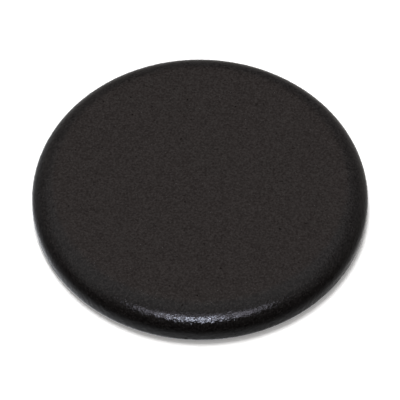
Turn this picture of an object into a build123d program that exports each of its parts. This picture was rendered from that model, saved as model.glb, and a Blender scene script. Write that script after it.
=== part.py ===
"""Round static-discharge touch pad for a shop counter.

A flat-topped puck: a grained rubber skin over a moulded cover, a foam contact and a steel
electrode disc under the roof, a bleed resistor from that disc to a rubber foot ring, and a
base plate held by four screws from below.

Units are millimetres. The origin is the centre of the resting face, +Z is up and the front
of the pad faces -Y.
"""

import os
from math import atan2, cos, degrees, radians, sin

from build123d import *

# Outer form
pad_diameter = 100.0
cover_height = 10.8
shoulder_radius = 8.0
rim_edge_radius = 0.8
rim_gap = 0.5

# Wall thicknesses
skin_thickness = 1.0
shell_thickness = 1.6
foam_thickness = 1.0
electrode_thickness = 2.0
film_thickness = 0.25
base_thickness = 2.0

# Fits
base_recess = 0.4
sliding_gap = 0.3
groove_gap = 0.1

# Foot ring
foot_inner_diameter = 74.0
foot_outer_diameter = 86.0
foot_groove_depth = 1.2
foot_edge_radius = 0.4

# Keys that lock the skin to the cover and touch the foam
key_count = 8
key_diameter = 5.0
key_circle_diameter = 40.0

# Screws that hold the base plate
screw_count = 4
screw_circle_diameter = 62.0
screw_first_angle = 45.0
boss_diameter = 6.4
boss_clearance = 0.5
screw_thread_diameter = 2.6
screw_core_diameter = 1.9
screw_pitch = 0.9
screw_length = 6.0
screw_head_diameter = 4.8
screw_head_height = 1.4
screw_hole_diameter = 2.9
counterbore_diameter = 5.4
counterbore_depth = 1.6
boss_end_height = 4.2
pilot_end_height = 9.3

# Parts that carry the electrode disc
electrode_diameter = 82.0
foam_diameter = 54.0
pillar_count = 6
pillar_diameter = 4.0
pillar_circle_diameter = 48.0
pillar_first_angle = 30.0
locating_rib_count = 12
locating_rib_width = 1.2
locating_rib_foot_height = 4.6
edge_break = 0.3

# Terminal on the electrode disc
terminal_x = -14.0
terminal_thickness = 0.4
terminal_ring_diameter = 6.0
terminal_tail_width = 2.4
terminal_tail_end_x = -6.6
terminal_step = 0.9
terminal_window_diameter = 8.4
terminal_screw_diameter = 2.5
terminal_screw_length = 2.6
terminal_head_diameter = 4.5
terminal_head_height = 1.2
washer_diameter = 5.0
washer_thickness = 0.4
washer_tooth_count = 8

# Bleed resistor, lying along X
resistor_length = 6.3
resistor_diameter = 2.3
resistor_waist_diameter = 1.9
resistor_cap_length = 1.5
resistor_axis_height = 3.5
lead_diameter = 0.6
lead_bend_radius = 0.7
lead_reach = 10.6
lead_rise_x = -7.8
sleeve_diameter = 1.2
sleeve_bore = 0.7
sleeve_length = 2.9
sleeve_offset = 0.5
solder_radius = 0.8
solder_height = 0.5

# Cradle for the resistor
cradle_pocket_depth = 0.65
cradle_pocket_width = 3.0
cradle_pocket_length = 14.4
cradle_post_height = 1.5
cradle_post_thickness = 0.9
cradle_post_length = 3.0

# Leaf that joins the resistor to the foot ring
leaf_thickness = 0.3
leaf_width = 5.0
leaf_start_x = 8.4
leaf_dip_x = 37.6
leaf_touch_x = 40.0
leaf_end_x = 41.8
leaf_slot_width = 6.0
rivet_x = 24.0
rivet_shank_diameter = 2.0
rivet_head_diameter = 3.6
rivet_head_height = 0.6
rivet_dome_radius = 0.5

# Stiffening ribs on the base plate
base_rib_width = 1.0
base_rib_height = 1.0
base_rib_inner_radius = 9.0
base_ring_rib_diameter = 92.0

# Plain label in the underside
label_diameter = 36.0
label_thickness = 0.2

# Levels worked out from the sizes above
pad_radius = pad_diameter / 2
rim_level = rim_gap
top_level = rim_level + cover_height
roof_level = top_level - skin_thickness
roof_underside = roof_level - shell_thickness
foam_underside = roof_underside - foam_thickness
electrode_underside = foam_underside - electrode_thickness
film_underside = electrode_underside - film_thickness
base_underside = rim_level + base_recess
base_top = base_underside + base_thickness
groove_top = base_underside + foot_groove_depth
counterbore_top = base_underside + counterbore_depth
lip_top = rim_level + skin_thickness
shell_radius = pad_radius - skin_thickness
shell_inner_radius = shell_radius - shell_thickness
base_radius = shell_inner_radius - sliding_gap
screw_radius = screw_circle_diameter / 2
leaf_top = base_top + leaf_thickness
tail_top = electrode_underside - terminal_step
cradle_floor = base_top - cradle_pocket_depth


def turned(outline, rounds=()):
    """Revolve (radius, height) points about Z, after rounding the listed (point index, radius)."""
    section = make_face(Polyline(*outline, close=True))
    for index, radius in rounds:
        corner = section.vertices().sort_by_distance(outline[index])[0]
        section = fillet(corner, radius)
    return revolve(Plane.XZ * section, Axis.Z)


def upright(diameter, low, high, x=0.0, y=0.0):
    """Vertical cylinder between two heights."""
    centre = (x, y, (low + high) / 2)
    return Pos(*centre) * Cylinder(diameter / 2, high - low)


def block(x_low, x_high, width, low, high, y=0.0):
    """Box that lies along X, centred on y."""
    centre = ((x_low + x_high) / 2, y, (low + high) / 2)
    return Pos(*centre) * Box(x_high - x_low, width, high - low)


def strip(profile, width):
    """Bent sheet strip: an (x, z) outline drawn out to the given width about y = 0."""
    section = Plane.XZ * make_face(Polyline(*profile, close=True))
    return extrude(section, width / 2, both=True)


def cross_recess(size, depth, level):
    """Cross-shaped driver recess, on the Z axis, cut upwards from the given level."""
    arm_width = size / 3
    arms = Box(size, arm_width, depth) + Box(arm_width, size, depth)
    return Pos(0, 0, level + depth / 2) * arms


def around(count, radius, first_angle=0.0):
    """Points (x, y) evenly spaced on a circle about the origin."""
    step = 360.0 / count
    angles = [radians(first_angle + step * index) for index in range(count)]
    return [(radius * cos(angle), radius * sin(angle)) for angle in angles]


screw_points = around(screw_count, screw_radius, screw_first_angle)
key_points = around(key_count, key_circle_diameter / 2, 180.0 / key_count)


def touch_skin():
    """Rubber skin over the whole outside, turned under the rim of the cover."""
    outline = [
        (0, top_level),
        (pad_radius, top_level),
        (pad_radius, rim_level),
        (shell_inner_radius, rim_level),
        (shell_inner_radius, lip_top),
        (shell_radius, lip_top),
        (shell_radius, roof_level),
        (0, roof_level),
    ]
    rounds = [(1, shoulder_radius), (2, rim_edge_radius), (6, shoulder_radius - skin_thickness)]
    skin = turned(outline, rounds)
    for x, y in key_points:
        skin += upright(key_diameter, roof_underside, roof_level + skin_thickness / 2, x, y)
    return skin


def cover_envelope(inset):
    """Solid dome that lies the given distance inside the outer face of the cover."""
    radius = shell_radius - inset
    level = roof_level - inset
    outline = [(0, level), (radius, level), (radius, lip_top), (0, lip_top)]
    return turned(outline, [(1, shoulder_radius - skin_thickness - inset)])


def locating_ribs():
    """Short ribs inside the shoulder that centre the electrode disc."""
    inner_radius = electrode_diameter / 2 + sliding_gap
    rib = block(inner_radius, shell_radius, locating_rib_width, locating_rib_foot_height, roof_level)
    spacing = 360.0 / locating_rib_count
    ribs = [Rot(0, 0, spacing * (index + 0.5)) * rib for index in range(locating_rib_count)]
    envelope = cover_envelope(shell_thickness / 2)
    return [envelope & rib for rib in ribs]


def cover_shell():
    """Rigid moulding under the skin, with screw bosses, locating ribs and key holes."""
    shell = cover_envelope(0) - cover_envelope(shell_thickness)
    for rib in locating_ribs():
        shell += rib
    for x, y in screw_points:
        shell += upright(boss_diameter, boss_end_height, roof_underside + shell_thickness / 2, x, y)
    for x, y in screw_points:
        shell -= upright(screw_thread_diameter, boss_end_height, pilot_end_height, x, y)
    for x, y in key_points:
        shell -= upright(key_diameter, roof_underside, roof_level, x, y)
    return shell


def contact_foam():
    """Carbon-filled foam disc squeezed between the skin keys and the electrode disc."""
    return upright(foam_diameter, foam_underside, roof_underside)


def electrode_plate():
    """Steel disc that gathers the charge and gives the pad its weight."""
    plate = upright(electrode_diameter, electrode_underside, foam_underside)
    plate = chamfer(plate.edges().filter_by(GeomType.CIRCLE), edge_break)
    for x, y in screw_points:
        plate -= upright(boss_diameter + 2 * boss_clearance, electrode_underside, foam_underside, x, y)
    plate -= upright(terminal_screw_diameter, electrode_underside, foam_underside, terminal_x)
    return plate


def insulator_disc():
    """Polyester film between the electrode disc and the wiring."""
    film = upright(electrode_diameter, film_underside, electrode_underside)
    for x, y in screw_points:
        film -= upright(boss_diameter + 2 * boss_clearance, film_underside, electrode_underside, x, y)
    film -= upright(terminal_window_diameter, film_underside, electrode_underside, terminal_x)
    return film


def plate_terminal():
    """Ring tag under the electrode disc, with a tail stepped down to the resistor lead."""
    ring_low = electrode_underside - terminal_thickness
    ring_edge = terminal_x + terminal_ring_diameter / 2
    step_end = ring_edge + terminal_step
    tail_low = tail_top - terminal_thickness
    profile = [
        (terminal_x, electrode_underside),
        (ring_edge, electrode_underside),
        (step_end, tail_top),
        (terminal_tail_end_x, tail_top),
        (terminal_tail_end_x, tail_low),
        (step_end - terminal_thickness / 2, tail_low),
        (ring_edge - terminal_thickness / 2, ring_low),
        (terminal_x, ring_low),
    ]
    tail = strip(profile, terminal_tail_width)
    tag = tail + upright(terminal_ring_diameter, ring_low, electrode_underside, terminal_x)
    tag -= upright(terminal_screw_diameter, ring_low, electrode_underside, terminal_x)
    tag -= upright(lead_diameter, tail_low, tail_top, lead_rise_x)
    return tag


def terminal_screw():
    """Machine screw that clamps the ring tag to the electrode disc."""
    head_top = electrode_underside - terminal_thickness - washer_thickness
    head_low = head_top - terminal_head_height
    head_radius = terminal_head_diameter / 2
    outline = [(0, head_low), (head_radius, head_low), (head_radius, head_top), (0, head_top)]
    head = turned(outline, [(1, terminal_head_height / 2)])
    head -= cross_recess(terminal_head_diameter / 2, terminal_head_height / 2, head_low)
    shank = upright(terminal_screw_diameter, head_top, head_top + terminal_screw_length)
    tip = shank.edges().group_by(Axis.Z)[-1]
    return Pos(terminal_x, 0, 0) * (head + chamfer(tip, edge_break))


def terminal_washer():
    """Toothed lock washer under the head of the terminal screw."""
    washer_top = electrode_underside - terminal_thickness
    washer_low = washer_top - washer_thickness
    washer = upright(washer_diameter, washer_low, washer_top)
    washer -= upright(terminal_screw_diameter, washer_low, washer_top)
    notch = block(washer_diameter / 2 - edge_break, washer_diameter, edge_break * 2, washer_low, washer_top)
    for index in range(washer_tooth_count):
        washer -= Rot(0, 0, index * 360.0 / washer_tooth_count) * notch
    return Pos(terminal_x, 0, 0) * washer


def bleed_resistor():
    """Axial resistor body with a narrower waist between its two end caps."""
    half = resistor_length / 2
    waist_half = half - resistor_cap_length
    cap_radius = resistor_diameter / 2
    waist_radius = resistor_waist_diameter / 2
    taper = waist_half - (cap_radius - waist_radius)
    outline = [
        (0, -half),
        (cap_radius, -half),
        (cap_radius, -waist_half),
        (waist_radius, -taper),
        (waist_radius, taper),
        (cap_radius, waist_half),
        (cap_radius, half),
        (0, half),
    ]
    edge = resistor_cap_length / 3
    body = turned(outline, [(1, edge), (6, edge)])
    return Pos(0, 0, resistor_axis_height) * Rot(0, 90, 0) * body


def wire(points):
    """Round lead swept along points, with rounded bends."""
    if len(points) > 2:
        path = FilletPolyline(*points, radius=lead_bend_radius)
    else:
        path = Polyline(*points)
    start = Plane(origin=path @ 0, z_dir=path % 0)
    return sweep(start * Circle(lead_diameter / 2), path)


def lead_paths():
    """Centre lines of the lead to the ring tag and the lead to the leaf."""
    end = resistor_length / 2
    lead_end = tail_top + lead_diameter
    to_tag = [
        (-end, 0, resistor_axis_height),
        (lead_rise_x, 0, resistor_axis_height),
        (lead_rise_x, 0, lead_end),
    ]
    to_leaf = [(end, 0, resistor_axis_height), (lead_reach, 0, resistor_axis_height)]
    return [to_tag, to_leaf]


def resistor_leads():
    """The two tinned wires of the resistor."""
    return [wire(path) for path in lead_paths()]


def lead_sleeves():
    """Plastic sleeve on the straight part of each lead."""
    start = resistor_length / 2 + sleeve_offset
    tube = Cylinder(sleeve_diameter / 2, sleeve_length) - Cylinder(sleeve_bore / 2, sleeve_length)
    reach = start + sleeve_length / 2
    return [Pos(side * reach, 0, resistor_axis_height) * Rot(0, 90, 0) * tube for side in (-1, 1)]


def solder_joints():
    """Solder at the ring tag and at the leaf, shaped round the leads."""
    leads = resistor_leads()
    cone = Cone(solder_radius, lead_diameter / 2 + edge_break / 2, solder_height)
    at_tag = Pos(lead_rise_x, 0, tail_top + solder_height / 2) * cone - leads[0]
    bead_start = leaf_start_x + edge_break
    bead_end = lead_reach + edge_break
    bead = Rot(0, 90, 0) * Cylinder(solder_radius, bead_end - bead_start)
    bead = Pos((bead_start + bead_end) / 2, 0, leaf_top) * bead
    bead &= block(bead_start, bead_end, leaf_width, leaf_top, leaf_top + solder_radius)
    return [at_tag, bead - leads[1]]


def foot_contact():
    """Springy bronze leaf from the resistor to the top of the foot ring."""
    low = base_top
    profile = [
        (leaf_start_x, leaf_top),
        (leaf_dip_x, leaf_top),
        (leaf_touch_x, groove_top + leaf_thickness),
        (leaf_end_x, groove_top + 2 * leaf_thickness),
        (leaf_end_x, groove_top + leaf_thickness),
        (leaf_touch_x, groove_top),
        (leaf_dip_x - leaf_thickness / 2, low),
        (leaf_start_x, low),
    ]
    leaf = strip(profile, leaf_width)
    leaf -= upright(rivet_shank_diameter, low, leaf_top, rivet_x)
    return leaf


def contact_rivet():
    """Brass rivet that holds the leaf to the base plate."""
    low_head_top = base_underside + rivet_head_height
    high_head_top = leaf_top + rivet_head_height
    head_radius = rivet_head_diameter / 2
    shank_radius = rivet_shank_diameter / 2
    outline = [
        (0, base_underside),
        (head_radius, base_underside),
        (head_radius, low_head_top),
        (shank_radius, low_head_top),
        (shank_radius, leaf_top),
        (head_radius, leaf_top),
        (head_radius, high_head_top),
        (0, high_head_top),
    ]
    return Pos(rivet_x, 0, 0) * turned(outline, [(6, rivet_dome_radius)])


def base_ribs():
    """Radial ribs and one ring rib on the top face of the base plate."""
    ring_outer = base_ring_rib_diameter / 2
    ring = upright(2 * ring_outer, base_top, base_top + base_rib_height)
    ring -= upright(2 * (ring_outer - base_rib_width), base_top, base_top + base_rib_height)
    spacing = 360.0 / pillar_count
    inner_end = base_rib_inner_radius
    rib = block(inner_end, ring_outer - base_rib_width, base_rib_width, base_top, base_top + base_rib_height)
    return [ring] + [Rot(0, 0, pillar_first_angle + spacing * index) * rib for index in range(pillar_count)]


def cradle_posts():
    """Two posts that hold the resistor body between them."""
    offset = (cradle_pocket_width + cradle_post_thickness) / 2
    half = cradle_post_length / 2
    high = base_top + cradle_post_height
    return [block(-half, half, cradle_post_thickness, base_top, high, side * offset) for side in (-1, 1)]


def base_plate():
    """Moulded underside with the foot groove, screw seats, pillars, ribs and resistor cradle."""
    groove_inner = foot_inner_diameter / 2 - groove_gap
    groove_outer = foot_outer_diameter / 2 + groove_gap
    outline = [
        (0, base_underside),
        (groove_inner, base_underside),
        (groove_inner, groove_top),
        (groove_outer, groove_top),
        (groove_outer, base_underside),
        (base_radius, base_underside),
        (base_radius, base_top),
        (0, base_top),
    ]
    plate = turned(outline, [(5, edge_break), (6, edge_break)])
    for feature in base_ribs() + cradle_posts():
        plate += feature
    for x, y in around(pillar_count, pillar_circle_diameter / 2, pillar_first_angle):
        plate += upright(pillar_diameter, base_top - edge_break, film_underside, x, y)
    for x, y in screw_points:
        plate += upright(boss_diameter, base_top - edge_break, boss_end_height, x, y)
    for x, y in screw_points:
        plate -= upright(counterbore_diameter, base_underside, counterbore_top, x, y)
        plate -= upright(screw_hole_diameter, counterbore_top, boss_end_height, x, y)
    half_pocket = cradle_pocket_length / 2
    plate -= block(-half_pocket, half_pocket, cradle_pocket_width, cradle_floor, base_top)
    plate -= block(leaf_dip_x - sliding_gap, leaf_end_x + sliding_gap, leaf_slot_width, groove_top, base_top)
    plate -= upright(rivet_shank_diameter, base_underside, base_top, rivet_x)
    plate -= upright(rivet_head_diameter, base_underside, base_underside + rivet_head_height, rivet_x)
    plate -= upright(label_diameter, base_underside, base_underside + label_thickness)
    return plate


def base_label():
    """Blank film label let into the underside."""
    return upright(label_diameter, base_underside, base_underside + label_thickness)


def foot_ring():
    """Carbon-filled rubber ring that the pad stands on."""
    inner = foot_inner_diameter / 2
    outer = foot_outer_diameter / 2
    outline = [(inner, 0), (outer, 0), (outer, groove_top), (inner, groove_top)]
    return turned(outline, [(0, foot_edge_radius), (1, foot_edge_radius)])


def base_screw():
    """Self-tapping screw with a pan head and a cross recess, on the Z axis."""
    head_low = counterbore_top - screw_head_height
    head_radius = screw_head_diameter / 2
    core = screw_core_diameter / 2
    crest = screw_thread_diameter / 2
    tip = counterbore_top + screw_length
    turns = int((screw_length - screw_pitch) / screw_pitch)
    outline = [(0, head_low), (head_radius, head_low)]
    outline += [(head_radius, counterbore_top), (core, counterbore_top)]
    for index in range(turns):
        start = counterbore_top + screw_pitch * (index + 0.5)
        outline += [(core, start), (crest, start + screw_pitch / 4), (core, start + screw_pitch / 2)]
    outline += [(core, tip - screw_core_diameter / 2), (0, tip)]
    screw = turned(outline, [(1, screw_head_height / 2)])
    return screw - cross_recess(screw_head_diameter / 2, screw_head_height / 2, head_low)


def base_screws():
    """The four identical screws in the base plate."""
    screw = base_screw()
    placed = []
    for x, y in screw_points:
        placed.append(Pos(x, y, 0) * Rot(0, 0, degrees(atan2(y, x))) * screw)
    return placed


def as_solids(made):
    """Every separate solid of a sub-part, as one compound."""
    shapes = made if isinstance(made, list) else [made]
    return Compound(children=[solid for shape in shapes for solid in shape.solids()])


parts = [
    touch_skin,
    cover_shell,
    contact_foam,
    electrode_plate,
    insulator_disc,
    plate_terminal,
    terminal_screw,
    terminal_washer,
    bleed_resistor,
    resistor_leads,
    lead_sleeves,
    solder_joints,
    foot_contact,
    contact_rivet,
    base_plate,
    base_label,
    base_screws,
    foot_ring,
]

os.makedirs("parts", exist_ok=True)
for part in parts:
    export_step(as_solids(part()), f"parts/{part.__name__}.step")
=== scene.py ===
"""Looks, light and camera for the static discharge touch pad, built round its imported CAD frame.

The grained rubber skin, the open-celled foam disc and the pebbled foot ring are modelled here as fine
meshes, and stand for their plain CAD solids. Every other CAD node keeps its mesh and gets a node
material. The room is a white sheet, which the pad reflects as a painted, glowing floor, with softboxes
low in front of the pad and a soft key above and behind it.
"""

import math

import bpy
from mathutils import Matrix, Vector, noise


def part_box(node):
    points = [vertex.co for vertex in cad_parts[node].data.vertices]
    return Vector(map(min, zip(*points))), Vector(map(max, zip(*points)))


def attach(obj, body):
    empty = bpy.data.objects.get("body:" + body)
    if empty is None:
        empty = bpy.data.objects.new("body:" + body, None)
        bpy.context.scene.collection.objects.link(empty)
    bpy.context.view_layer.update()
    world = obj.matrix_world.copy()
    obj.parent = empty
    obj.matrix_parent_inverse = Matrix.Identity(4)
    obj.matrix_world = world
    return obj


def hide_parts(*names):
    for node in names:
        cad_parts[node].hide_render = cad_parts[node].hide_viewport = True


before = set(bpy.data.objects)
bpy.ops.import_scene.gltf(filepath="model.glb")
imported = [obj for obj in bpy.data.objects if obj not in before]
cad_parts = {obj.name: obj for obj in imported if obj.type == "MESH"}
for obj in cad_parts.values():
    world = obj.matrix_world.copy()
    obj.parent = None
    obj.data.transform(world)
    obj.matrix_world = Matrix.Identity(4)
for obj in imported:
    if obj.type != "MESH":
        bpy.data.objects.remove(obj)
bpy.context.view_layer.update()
BODY = "root"
MM = 0.001

# Sizes of the pad, from the frame's boxes and from the proportions of the CAD
skin_low, skin_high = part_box("touch_skin")
PAD_RADIUS = skin_high.x
TOP = skin_high.z
RIM = skin_low.z
COVER_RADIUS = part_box("cover_shell")[1].x
COVER_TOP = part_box("cover_shell")[1].z
SKIN_THICKNESS = TOP - COVER_TOP
LIP_CLEARANCE = 0.3 * MM
LIP_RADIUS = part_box("base_plate")[1].x + LIP_CLEARANCE
SHOULDER_RADIUS = 0.16 * PAD_RADIUS
RIM_EDGE_RADIUS = 0.016 * PAD_RADIUS
FLAT_RADIUS = PAD_RADIUS - SHOULDER_RADIUS
WALL_HEIGHT = TOP - SHOULDER_RADIUS - RIM - RIM_EDGE_RADIUS
KEY_CIRCLE_RADIUS = 0.4 * PAD_RADIUS
KEY_RADIUS = 0.05 * PAD_RADIUS
KEY_COUNT = 8
KEY_SIDES = 24

# Mesh and moulded grain of the skin
SKIN_STEPS = 288
INSIDE_CORNER_STEPS = 4
GRAIN_SIZE = 0.9 * MM
GRAIN_HEIGHT = 0.055 * MM

# Mesh and surface of the foam disc and the foot ring
FOAM_STEPS = 140
FOAM_CELL_SIZE = 0.9 * MM
FOAM_CELL_DEPTH = 0.2 * MM
FOOT_STEPS = 720
FOOT_SPACING = 0.35 * MM
FOOT_EDGE_RADIUS = 0.4 * MM
FOOT_EDGE_STEPS = 3
PEBBLE_SIZE = 0.8 * MM
PEBBLE_DEPTH = 0.07 * MM

# Meshes are shaded smooth across edges that turn less than this
CREASE_ANGLE = math.radians(50)

# Range that most of a noise texture's values lie in
NOISE_LOW = 0.3
NOISE_HIGH = 0.7

# Floor and softboxes, in metres, and the colours of their light
FLOOR_REACH = 20.0
SOFTBOX_DISTANCE = 0.8
SOFTBOX_TARGET = Vector((0, -0.9 * PAD_RADIUS, TOP))
COOL_LIGHT = (0.76, 0.82, 1.0)
PALE_LIGHT = (0.87, 0.85, 1.0)

# Camera, with angles in degrees
CAMERA_ELEVATION = 53.7
CAMERA_ROLL = 0.44
CAMERA_DISTANCE = 34.5 * PAD_RADIUS
CAMERA_AIM_HEIGHT = 2.3 * MM
PAD_SHARE_OF_WIDTH = 0.8402
SENSOR_WIDTH = 36.0


def linked(name, data):
    """New object in the scene."""
    made = bpy.data.objects.new(name, data)
    bpy.context.scene.collection.objects.link(made)
    return made


def polar(radius, angle, height):
    """Point at a radius and an angle about the pad's axis."""
    return Vector((radius * math.cos(angle), radius * math.sin(angle), height))


def tilted(angle, tilt):
    """Direction at a tilt from straight up, towards an angle about the pad's axis."""
    return polar(math.sin(tilt), angle, math.cos(tilt))


# Node materials


class Nodes:
    """Adds shader nodes to a node tree and links them."""

    def __init__(self, tree):
        self.tree = tree

    def node(self, kind, **values):
        """New node with its named inputs set to values or linked to sockets, with _ for a space."""
        made = self.tree.nodes.new(kind)
        for name, value in values.items():
            self.feed(made.inputs[name.replace("_", " ")], value)
        return made

    def feed(self, socket, value):
        """Links a socket to another node's output, or sets its plain value."""
        if isinstance(value, bpy.types.NodeSocket):
            self.tree.links.new(value, socket)
        else:
            socket.default_value = value

    def operate(self, kind, operation, values):
        """Number that a math or vector math node makes of its values."""
        made = self.node(kind)
        made.operation = operation
        for socket, value in zip(made.inputs, values):
            self.feed(socket, value)
        return made.outputs["Value"]

    def math(self, operation, *values):
        """Result of a math node."""
        return self.operate("ShaderNodeMath", operation, values)

    def vector_math(self, operation, *vectors):
        """Length or dot product of vectors."""
        return self.operate("ShaderNodeVectorMath", operation, vectors)

    def part(self, vector, axis):
        """One coordinate of a vector."""
        return self.node("ShaderNodeSeparateXYZ", Vector=vector).outputs[axis]

    def ranged(self, value, from_low, from_high, to_low=0.0, to_high=1.0):
        """Maps one range of a value onto another, and holds it at the ends."""
        made = self.node("ShaderNodeMapRange", Value=value, From_Min=from_low, From_Max=from_high)
        self.feed(made.inputs["To Min"], to_low)
        self.feed(made.inputs["To Max"], to_high)
        return made.outputs["Result"]

    def colours(self, share, stops, interpolation="LINEAR"):
        """Colour ramp through (position, colour) stops."""
        made = self.node("ShaderNodeValToRGB", Fac=share)
        ramp = made.color_ramp
        ramp.interpolation = interpolation
        while len(ramp.elements) < len(stops):
            ramp.elements.new(1.0)
        for element, (position, colour) in zip(ramp.elements, stops):
            element.position = position
            element.color = (*colour, 1.0)
        return made.outputs["Color"]

    def joined(self, kind, first, second, **values):
        """Output of a mix or add node fed with two shader nodes."""
        made = self.node(kind, **values)
        sockets = [socket for socket in made.inputs if socket.type == "SHADER"]
        self.feed(sockets[0], first)
        self.feed(sockets[1], second)
        return made.outputs["Shader"]


class Look(Nodes):
    """A node material under construction: a Principled shader and what feeds it.

    Its patterns are laid out by place, the position in the frame, so they need no UVs.
    """

    def __init__(self, name, metallic=0.0):
        self.material = bpy.data.materials.new(name)
        self.material.use_nodes = True
        super().__init__(self.material.node_tree)
        self.shader = self.tree.nodes["Principled BSDF"]
        self.set(Metallic=metallic)
        self.place = self.node("ShaderNodeTexCoord").outputs["Object"]

    def set(self, **values):
        """Sets or links inputs of the shader, with _ for a space in their names."""
        for name, value in values.items():
            self.feed(self.shader.inputs[name.replace("_", " ")], value)
        return self

    def speckle(self, size, detail=2.0, stretch=(1.0, 1.0, 1.0)):
        """Random noise between 0 and 1 with features of the given size, in metres."""
        place = self.node("ShaderNodeMapping", Vector=self.place, Scale=stretch).outputs["Vector"]
        noisy = self.node("ShaderNodeTexNoise", Vector=place, Scale=1.0 / size, Detail=detail)
        return noisy.outputs["Fac"]

    def between(self, share, low, high):
        """Value that goes from low to high as noise goes from its usual least to its usual most."""
        return self.ranged(share, NOISE_LOW, NOISE_HIGH, low, high)

    def fade(self, share, first, last):
        """Colour that goes from first to last as noise goes from its usual least to its usual most."""
        return self.colours(share, [(NOISE_LOW, first), (NOISE_HIGH, last)])

    def bump(self, height, depth):
        """Bumps of the given depth in metres."""
        return self.node("ShaderNodeBump", Height=height, Distance=depth).outputs["Normal"]


def tint(colour, factor):
    """A colour made lighter or darker."""
    return tuple(min(1.0, channel * factor) for channel in colour)


def skin_rubber():
    """Warm black moulded rubber: satin between the grains, with sparse pores, a little uneven."""
    look = Look("skin_rubber")
    black = (0.001, 0.0, 0.0)
    dark_brown = (0.0194, 0.0172, 0.0167)
    clouds = look.speckle(9 * MM, detail=4.0)
    fine = look.speckle(0.45 * MM, detail=1.0)
    mottle = look.speckle(0.6 * MM)
    pores = look.ranged(look.speckle(1.1 * MM, detail=1.0), 0.2, 0.3)
    patches = look.between(look.speckle(4 * MM), 0.42, 0.48)
    gloss = look.math("MULTIPLY", pores, patches)
    look.set(Base_Color=look.fade(mottle, black, dark_brown))
    look.set(Roughness=look.between(clouds, 0.09, 0.13), Specular_IOR_Level=gloss)
    return look.set(Normal=look.bump(fine, 0.07 * MM)).material


def textured_plastic(name, colour, roughness, texture_size, texture_depth):
    """Moulded plastic with a spark-eroded texture and faint flow marks."""
    look = Look(name)
    flow = look.speckle(14 * MM, detail=3.0)
    pits = look.speckle(texture_size, detail=3.0)
    spread = 0.08
    look.set(Base_Color=look.fade(flow, tint(colour, 0.8), tint(colour, 1.25)))
    look.set(Roughness=look.between(pits, roughness - spread, roughness + spread))
    return look.set(Normal=look.bump(pits, texture_depth)).material


def metal(name, colour, roughness, stain_size, mark_size, mark_depth, stretch=(1.0, 1.0, 1.0)):
    """Bare or plated metal with faint stains, and with scratches or pits."""
    look = Look(name, metallic=1.0)
    stains = look.speckle(stain_size, detail=4.0)
    marks = look.speckle(mark_size, stretch=stretch)
    look.set(Base_Color=look.fade(stains, tint(colour, 0.8), tint(colour, 1.13)))
    look.set(Roughness=look.between(marks, roughness - 0.1, roughness + 0.12))
    return look.set(Normal=look.bump(marks, mark_depth)).material


def rolled_metal(name, colour, roughness, stretch):
    """Sheet metal with fine rolling lines, which run along the axis that the stretch shrinks."""
    return metal(name, colour, roughness, 5 * MM, 0.25 * MM, 0.004 * MM, stretch)


def small_metal(name, colour, roughness):
    """Turned, tinned or soldered metal with faint pits and stains."""
    return metal(name, colour, roughness, 0.8 * MM, 0.12 * MM, 0.006 * MM)


def carbon_foam():
    """Open-cell foam filled with carbon: dark in its cells, grey on their walls."""
    look = Look("carbon_foam")
    cell_size = 0.7 * MM
    cells = look.node("ShaderNodeTexVoronoi", Vector=look.place, Scale=1.0 / cell_size)
    to_centre = cells.outputs["Distance"]
    colour = look.colours(to_centre, [(0.1, (0.006, 0.006, 0.006)), (0.6, (0.05, 0.05, 0.053))])
    look.set(Base_Color=colour, Roughness=0.9, Normal=look.bump(to_centre, 0.25 * MM))
    return look.material


def polyester_film():
    """Clear amber film with a slight haze."""
    look = Look("polyester_film")
    haze = look.speckle(6 * MM, detail=3.0)
    ripples = look.speckle(3 * MM, detail=1.0)
    look.set(Base_Color=look.fade(haze, (0.62, 0.44, 0.16), (0.78, 0.6, 0.27)), Alpha=0.78)
    look.set(Roughness=look.between(haze, 0.12, 0.25), Normal=look.bump(ripples, 0.05 * MM))
    return look.material


def banded_resistor():
    """Beige lacquer with the colour bands of one megohm along X."""
    look = Look("resistor_body")
    low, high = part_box("bleed_resistor")
    beige = (0.56, 0.4, 0.22)
    brown = (0.1, 0.035, 0.012)
    black = (0.008, 0.008, 0.008)
    green = (0.02, 0.16, 0.04)
    gold = (0.55, 0.36, 0.08)
    band_width = 0.08
    stops = [(0.0, beige)]
    for start, colour in ((0.16, brown), (0.33, black), (0.47, green), (0.76, gold)):
        stops += [(start, colour), (start + band_width, beige)]
    along = look.ranged(look.part(look.place, "X"), low.x, high.x)
    ripples = look.speckle(0.6 * MM, detail=3.0)
    look.set(Base_Color=look.colours(along, stops, "CONSTANT"), Coat_Weight=0.3)
    look.set(Roughness=look.between(ripples, 0.25, 0.4), Normal=look.bump(ripples, 0.02 * MM))
    return look.material


def blank_label():
    """Matte silver film with a dark ring printed near its edge and no lettering."""
    look = Look("label_film", metallic=0.6)
    silver = (0.5, 0.51, 0.52)
    ink = (0.03, 0.03, 0.032)
    stops = [(0.0, silver), (0.88, ink), (0.92, silver)]
    outward = look.ranged(look.vector_math("LENGTH", look.place), 0.0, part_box("base_label")[1].x)
    fibre = look.speckle(0.3 * MM, detail=3.0)
    look.set(Base_Color=look.colours(outward, stops, "CONSTANT"))
    look.set(Roughness=look.between(fibre, 0.38, 0.55), Normal=look.bump(fibre, 0.008 * MM))
    return look.material


def sleeve_plastic():
    """Red plastic sleeving."""
    look = Look("sleeve_plastic")
    marks = look.speckle(0.5 * MM, detail=3.0)
    look.set(Base_Color=look.fade(marks, (0.28, 0.012, 0.01), (0.42, 0.03, 0.02)))
    look.set(Roughness=look.between(marks, 0.28, 0.45), Normal=look.bump(marks, 0.01 * MM))
    return look.material


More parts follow.
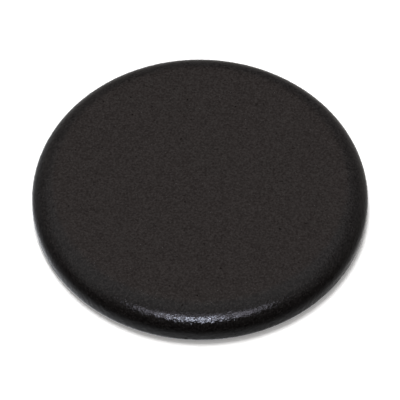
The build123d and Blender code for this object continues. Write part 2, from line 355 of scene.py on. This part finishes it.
def foot_rubber():
    """Dull black rubber with a trace of dust."""
    look = Look("foot_rubber")
    dust = look.speckle(2.5 * MM, detail=5.0)
    pores = look.speckle(0.35 * MM)
    look.set(Base_Color=look.fade(dust, (0.01, 0.01, 0.01), (0.035, 0.033, 0.031)))
    look.set(Roughness=look.between(pores, 0.65, 0.85), Normal=look.bump(pores, 0.03 * MM))
    return look.material


# Meshes


def disc_point(u, v):
    """Maps a point of the square -1..1 to (share of radius, angle) on a disc with even cells."""
    if u == 0 and v == 0:
        return 0.0, 0.0
    if abs(u) > abs(v):
        share, angle = u, math.pi / 4 * v / u
    else:
        share, angle = v, math.pi / 2 - math.pi / 4 * u / v
    if share < 0:
        share, angle = -share, angle + math.pi
    return share, angle


def sunk(point, normal, size, depth):
    """The point moved along its normal by a moulded grain, which only sinks into the surface."""
    height = noise.noise(point / size)
    return point + normal * depth * (height - 1.0)


def round_sheet(steps, place):
    """Vertices, upward faces and anticlockwise border of a disc whose points place() puts in space."""
    points = []
    for row in range(steps + 1):
        for column in range(steps + 1):
            share, angle = disc_point(2 * column / steps - 1, 2 * row / steps - 1)
            points.append(place(share, angle))
    across = steps + 1
    faces = []
    for row in range(steps):
        for column in range(steps):
            corner = row * across + column
            faces.append([corner, corner + 1, corner + across + 1, corner + across])
    border = list(range(steps))
    border += [step * across + steps for step in range(steps)]
    border += [steps * across + steps - step for step in range(steps)]
    border += [(steps - step) * across for step in range(steps)]
    return points, faces, border


def bridge(faces, first, second):
    """Quads from one closed ring of vertices to another of the same length."""
    count = len(first)
    for step in range(count):
        after = (step + 1) % count
        faces.append([first[step], second[step], second[after], first[after]])


def soft_piece(name, points, faces, material, node):
    """Smooth-shaded piece that rides the pad and stands for a CAD node."""
    mesh = bpy.data.meshes.new(name)
    mesh.from_pydata(points, [], faces)
    mesh.shade_smooth()
    mesh.set_sharp_from_angle(angle=CREASE_ANGLE)
    mesh.materials.append(material)
    piece = linked(name, mesh)
    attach(piece, BODY)
    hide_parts(node)


# The grained skin


def skin_profile(distance):
    """(radius, height, tilt) at a distance along the outer face from the centre of the top.

    The tilt is the normal's angle from straight up.
    """
    turn = SHOULDER_RADIUS * math.pi / 2
    if distance <= FLAT_RADIUS:
        return distance, TOP, 0.0
    distance -= FLAT_RADIUS
    if distance <= turn:
        tilt = distance / SHOULDER_RADIUS
        radius = FLAT_RADIUS + SHOULDER_RADIUS * math.sin(tilt)
        return radius, TOP - SHOULDER_RADIUS * (1 - math.cos(tilt)), tilt
    distance -= turn
    if distance <= WALL_HEIGHT:
        return PAD_RADIUS, TOP - SHOULDER_RADIUS - distance, math.pi / 2
    tilt = math.pi / 2 + (distance - WALL_HEIGHT) / RIM_EDGE_RADIUS
    radius = PAD_RADIUS - RIM_EDGE_RADIUS * (1 - math.sin(tilt))
    return radius, RIM + RIM_EDGE_RADIUS * (1 + math.cos(tilt)), tilt


def skin_length():
    """Length of the outer profile from the centre of the top to the underside of the rim."""
    turns = (SHOULDER_RADIUS + RIM_EDGE_RADIUS) * math.pi / 2
    return FLAT_RADIUS + WALL_HEIGHT + turns


def skin_point(share, angle):
    """Point of the grained outer face at a share of the way from its centre to its border."""
    radius, height, tilt = skin_profile(share * skin_length())
    return sunk(polar(radius, angle, height), tilted(angle, tilt), GRAIN_SIZE, GRAIN_HEIGHT)


def inner_profile():
    """(radius, height) points of the inside of the skin, from the lip up to the roof."""
    corner = SHOULDER_RADIUS - SKIN_THICKNESS
    lip_top = RIM + SKIN_THICKNESS
    points = [(LIP_RADIUS, RIM), (LIP_RADIUS, lip_top), (COVER_RADIUS, lip_top)]
    for step in range(INSIDE_CORNER_STEPS + 1):
        angle = math.pi / 2 * step / INSIDE_CORNER_STEPS
        radius = COVER_RADIUS - corner * (1 - math.cos(angle))
        points.append((radius, COVER_TOP - corner * (1 - math.sin(angle))))
    return points


def add_inside(points, faces, ring):
    """Closes the skin with rings on its inside and a roof."""
    count = len(ring)
    angles = [math.atan2(points[index].y, points[index].x) for index in ring]
    for radius, height in inner_profile():
        start = len(points)
        points += [polar(radius, angle, height) for angle in angles]
        new_ring = list(range(start, start + count))
        bridge(faces, ring, new_ring)
        ring = new_ring
    centre = len(points)
    points.append(Vector((0, 0, COVER_TOP)))
    for step in range(count):
        faces.append([ring[step], centre, ring[(step + 1) % count]])


def add_key(points, faces, centre):
    """One closed rubber key that fills a hole in the roof of the cover."""
    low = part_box("contact_foam")[1].z
    high = COVER_TOP + SKIN_THICKNESS / 2
    start = len(points)
    for height in (low, high):
        for side in range(KEY_SIDES):
            points.append(centre + polar(KEY_RADIUS, 2 * math.pi * side / KEY_SIDES, height))
    bottom = list(range(start, start + KEY_SIDES))
    top = list(range(start + KEY_SIDES, start + 2 * KEY_SIDES))
    faces.append(list(reversed(bottom)))
    faces.append(top)
    bridge(faces, top, bottom)


def touch_skin():
    """The grained rubber skin, in place of the plain CAD skin."""
    points, faces, border = round_sheet(SKIN_STEPS, skin_point)
    add_inside(points, faces, border)
    for key in range(KEY_COUNT):
        angle = 2 * math.pi * (key + 0.5) / KEY_COUNT
        add_key(points, faces, polar(KEY_CIRCLE_RADIUS, angle, 0))
    soft_piece("grained_skin", points, faces, skin_rubber(), "touch_skin")


# The foam disc and the foot ring


def foam_face(radius, height, inward):
    """Face of the foam disc, with its open cells sunk inward, which is 1 for up and -1 for down."""

    def place(share, angle):
        point = polar(radius * share, angle, height)
        to_cell_centre = noise.voronoi(point / FOAM_CELL_SIZE)[0][0]
        bowl = max(0.0, 1.0 - 2.0 * to_cell_centre)
        return point + Vector((0, 0, inward * FOAM_CELL_DEPTH * bowl))

    return round_sheet(FOAM_STEPS, place)


def contact_foam():
    """Foam disc with open cells in its two faces, in place of the plain CAD disc."""
    low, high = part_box("contact_foam")
    points, faces, border = foam_face(high.x, high.z, -1)
    under, under_faces, under_border = foam_face(high.x, low.z, 1)
    start = len(points)
    points += under
    faces += [[start + index for index in reversed(face)] for face in under_faces]
    bridge(faces, border, [start + index for index in under_border])
    soft_piece("cellular_foam", points, faces, carbon_foam(), "contact_foam")


def foot_profile(inner, outer, top):
    """Closed outline of the foot ring as (radius, height, tilt), down the outside first.

    The tilt is the normal's angle from straight up, turning outwards, and passes pi on the inside.
    """
    edge = FOOT_EDGE_RADIUS
    wall = top - edge
    face = outer - inner - 2 * edge
    wall_steps = round(wall / FOOT_SPACING)
    face_steps = round(face / FOOT_SPACING)
    profile = []
    for step in range(wall_steps):
        profile.append((outer, top - wall * step / wall_steps, math.pi / 2))
    for step in range(FOOT_EDGE_STEPS):
        tilt = math.pi / 2 * (1 + step / FOOT_EDGE_STEPS)
        profile.append((outer - edge + edge * math.sin(tilt), edge + edge * math.cos(tilt), tilt))
    for step in range(face_steps):
        profile.append((outer - edge - face * step / face_steps, 0.0, math.pi))
    for step in range(FOOT_EDGE_STEPS):
        tilt = math.pi / 2 * (2 + step / FOOT_EDGE_STEPS)
        profile.append((inner + edge + edge * math.sin(tilt), edge + edge * math.cos(tilt), tilt))
    for step in range(wall_steps + 1):
        profile.append((inner, edge + wall * step / wall_steps, math.pi * 1.5))
    return profile


def foot_ring():
    """Pebbled rubber ring, in place of the plain CAD ring."""
    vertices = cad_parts["foot_ring"].data.vertices
    inner = min(vertex.co.xy.length for vertex in vertices)
    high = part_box("foot_ring")[1]
    points = []
    for radius, height, tilt in foot_profile(inner, high.x, high.z):
        for step in range(FOOT_STEPS):
            angle = 2 * math.pi * step / FOOT_STEPS
            point = polar(radius, angle, height)
            points.append(sunk(point, tilted(angle, tilt), PEBBLE_SIZE, PEBBLE_DEPTH))
    rings = [list(range(start, start + FOOT_STEPS)) for start in range(0, len(points), FOOT_STEPS)]
    faces = []
    for ring, after in zip(rings, rings[1:] + rings[:1]):
        bridge(faces, ring, after)
    soft_piece("pebbled_foot", points, faces, foot_rubber(), "foot_ring")


# Materials of the CAD nodes


def dress(node, material):
    """Gives a CAD node its material."""
    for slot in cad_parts[node].material_slots:
        slot.material = material


def dress_cad_nodes():
    """Gives every CAD node that stays in sight its material."""
    along_x = (0.04, 1.0, 1.0)
    along_y = (1.0, 0.03, 1.0)
    dress("cover_shell", textured_plastic("cover_plastic", (0.014, 0.014, 0.015), 0.5, 0.4 * MM, 0.02 * MM))
    dress("base_plate", textured_plastic("base_plastic", (0.012, 0.012, 0.013), 0.55, 0.3 * MM, 0.025 * MM))
    dress("electrode_plate", rolled_metal("plated_steel", (0.58, 0.58, 0.56), 0.32, along_y))
    dress("insulator_disc", polyester_film())
    dress("plate_terminal", rolled_metal("tinned_brass", (0.66, 0.63, 0.56), 0.3, along_x))
    dress("terminal_screw", small_metal("screw_steel", (0.6, 0.6, 0.61), 0.28))
    dress("terminal_washer", small_metal("washer_steel", (0.56, 0.52, 0.42), 0.35))
    dress("bleed_resistor", banded_resistor())
    dress("resistor_leads", small_metal("tinned_copper", (0.7, 0.69, 0.66), 0.25))
    dress("lead_sleeves", sleeve_plastic())
    dress("solder_joints", small_metal("solder", (0.66, 0.66, 0.66), 0.3))
    dress("foot_contact", rolled_metal("phosphor_bronze", (0.62, 0.36, 0.18), 0.3, along_x))
    dress("contact_rivet", small_metal("rivet_brass", (0.68, 0.5, 0.22), 0.3))
    dress("base_label", blank_label())
    dress("base_screws", small_metal("black_screw_steel", (0.03, 0.03, 0.032), 0.4))


# Room, light and camera


def aim(made, target):
    """Points an object's -Z axis at a target."""
    made.rotation_euler = (Vector(target) - made.location).to_track_quat("-Z", "Y").to_euler()


def beside_pad(look, reach, power):
    """Falls from 1 at the wall of the pad to 0 at the given reach beyond it."""
    distance = look.vector_math("LENGTH", look.place)
    return look.math("POWER", look.ranged(distance, PAD_RADIUS, PAD_RADIUS + reach, 1.0, 0.0), power)


def painted_floor_reflection(look):
    """Painted reflection of the floor: a glow that only reflections see, dim in front, lighter behind,
    with a painted pool of light at the foot of the wall.

    Its light is painted a little cool on the left, and it has painted shadow at the foot on the side that
    the shadow falls to.
    """
    back = look.ranged(look.part(look.place, "Y"), -PAD_RADIUS, PAD_RADIUS)
    wide = look.math("MULTIPLY", beside_pad(look, reach=60 * MM, power=1.5), back)
    level = look.math("MULTIPLY_ADD", wide, 0.2, 0.13)
    level = look.math("MULTIPLY_ADD", back, level, 0.03)
    # Painted light: a bright band at the foot of the wall, seen only in reflections.
    foot = look.math("MULTIPLY", beside_pad(look, reach=12 * MM, power=2.0), 0.36)
    foot = look.math("MULTIPLY_ADD", beside_pad(look, reach=1.5 * MM, power=1.0), 0.45, foot)
    # Painted shadow: the glow at the foot is dimmer on the side that the key's shadow falls to.
    to_shadow = look.vector_math("DOT_PRODUCT", look.place, (0.87, -0.5, 0.0))
    lit_share = look.ranged(to_shadow, 0.45 * PAD_RADIUS, PAD_RADIUS, 1.2, 0.62)
    level = look.math("MULTIPLY_ADD", foot, lit_share, level)
    # Painted light colour: cool towards the left, warm towards the right.
    to_warm = look.vector_math("DOT_PRODUCT", look.place, (0.7, 0.7, 0.0))
    side = look.ranged(to_warm, -PAD_RADIUS, PAD_RADIUS)
    hue = look.colours(side, [(0.0, (0.96, 0.99, 1.04)), (1.0, (1.04, 1.0, 0.97))])
    return look.node("ShaderNodeEmission", Color=hue, Strength=level).outputs["Emission"]


def floor_paper():
    """Paper that the camera sees white, and that the pad's reflections see as a painted, glowing floor."""
    look = Look("floor_paper")
    lit = look.node("ShaderNodeBsdfDiffuse", Color=(1.0, 1.0, 1.0, 1.0)).outputs["BSDF"]
    glow = look.node("ShaderNodeEmission", Strength=0.12).outputs["Emission"]
    seen = look.joined("ShaderNodeAddShader", lit, glow)
    path = look.node("ShaderNodeLightPath").outputs["Is Camera Ray"]
    shown = look.joined("ShaderNodeMixShader", painted_floor_reflection(look), seen, Fac=path)
    look.feed(look.tree.nodes["Material Output"].inputs["Surface"], shown)
    return look.material


def floor():
    """White sheet under the pad, which reflections see as a painted, glowing floor."""
    mesh = bpy.data.meshes.new("floor")
    corners = [(FLOOR_REACH * x, FLOOR_REACH * y, 0) for x, y in ((-1, -1), (1, -1), (1, 1), (-1, 1))]
    mesh.from_pydata(corners, [], [[0, 1, 2, 3]])
    mesh.materials.append(floor_paper())
    linked("floor", mesh)


def room():
    """White to the camera; to reflections, a grey room that darkens towards the horizon and the front.

    It is neutral, and warm in the part of the ceiling that the flat top reflects to the camera.
    """
    world = bpy.data.worlds.new("room")
    bpy.context.scene.world = world
    world.use_nodes = True
    world.node_tree.nodes.clear()
    nodes = Nodes(world.node_tree)
    direction = nodes.node("ShaderNodeTexCoord").outputs["Generated"]
    height = nodes.vector_math("DOT_PRODUCT", direction, (-0.12, -0.25, 1.0))
    levels = [(0.0, 0.14), (0.2, 0.17), (0.36, 0.21), (0.6, 0.445), (0.8, 0.49)]
    level = nodes.colours(height, [(position, (grey, grey, grey)) for position, grey in levels])
    front = nodes.ranged(nodes.part(direction, "Y"), -0.7, -0.35, 0.25, 1.0)
    elevation = math.radians(CAMERA_ELEVATION)
    mirrored = (0.0, math.cos(elevation), math.sin(elevation))
    nearness = nodes.vector_math("DOT_PRODUCT", direction, mirrored)
    hue = nodes.colours(nearness, [(0.86, (0.9, 0.905, 0.92)), (0.97, (1.0, 0.88, 0.84))])
    strength = nodes.math("MULTIPLY", level, front)
    reflected = nodes.node("ShaderNodeBackground", Color=hue, Strength=strength)
    ambient = nodes.node("ShaderNodeBackground", Color=(1.0, 0.98, 0.96, 1.0), Strength=0.45)
    white = nodes.node("ShaderNodeBackground", Color=(1.0, 1.0, 1.0, 1.0), Strength=1.0)
    path = nodes.node("ShaderNodeLightPath").outputs
    both = (ambient.outputs["Background"], reflected.outputs["Background"])
    unseen = nodes.joined("ShaderNodeMixShader", *both, Fac=path["Is Glossy Ray"])
    both = (unseen, white.outputs["Background"])
    shown = nodes.joined("ShaderNodeMixShader", *both, Fac=path["Is Camera Ray"])
    nodes.node("ShaderNodeOutputWorld", Surface=shown)


def softbox(name, colour, radiance, width, height, turn, elevation, roll=0):
    """Softbox in front of the pad, for the sheen on the near shoulder.

    Its angles are in degrees: the turn to one side, the elevation, and the roll about its own axis.
    """
    data = bpy.data.lights.new(name, "AREA")
    data.shape = "RECTANGLE"
    data.size = width
    data.size_y = height
    data.energy = radiance * math.pi * width * height
    data.color = colour
    light = linked(name, data)
    outward = tilted(math.radians(turn - 90), math.radians(90 - elevation))
    light.location = SOFTBOX_TARGET + outward * SOFTBOX_DISTANCE
    aim(light, SOFTBOX_TARGET)
    light.rotation_euler.rotate_axis("Z", math.radians(roll))
    light.visible_diffuse = False


def softboxes():
    """A narrow bright box, two dimmer wings, and a broad dim one for the halo above them."""
    softbox("front_softbox", COOL_LIGHT, 46.0, width=0.34, height=0.04, turn=-2.0, elevation=27.5)
    softbox("front_reflector", PALE_LIGHT, 0.95, width=0.5, height=0.4, turn=0, elevation=38.0)
    softbox("left_softbox", PALE_LIGHT, 3.3, width=0.42, height=0.2, turn=-22, elevation=29.5, roll=-12)
    softbox("right_softbox", PALE_LIGHT, 3.0, width=0.46, height=0.2, turn=24, elevation=32.0, roll=12)


def key_light():
    """Soft key from above and behind, a little to the left: it whitens the floor and casts the shadow."""
    data = bpy.data.lights.new("key_light", "SUN")
    data.energy = 2.4
    data.angle = math.radians(20)
    light = linked("key_light", data)
    light.location = (-0.09, 0.26, 0.95)
    aim(light, (0, 0, 0))
    light.visible_glossy = False


def camera():
    """Long lens in front of the pad and above it, rolled very slightly anticlockwise."""
    data = bpy.data.cameras.new("camera")
    data.sensor_width = SENSOR_WIDTH
    made = linked("camera", data)
    elevation = math.radians(CAMERA_ELEVATION)
    target = Vector((0, 0, CAMERA_AIM_HEIGHT))
    back = Vector((0, -math.cos(elevation), math.sin(elevation)))
    made.location = target + back * CAMERA_DISTANCE
    aim(made, target)
    made.rotation_euler.rotate_axis("Z", math.radians(CAMERA_ROLL))
    view_width = 2 * PAD_RADIUS / PAD_SHARE_OF_WIDTH
    data.lens = SENSOR_WIDTH * CAMERA_DISTANCE / view_width
    bpy.context.scene.camera = made


touch_skin()
contact_foam()
foot_ring()
dress_cad_nodes()
floor()
room()
softboxes()
key_light()
camera()
bpy.context.scene.view_settings.view_transform = "Standard"
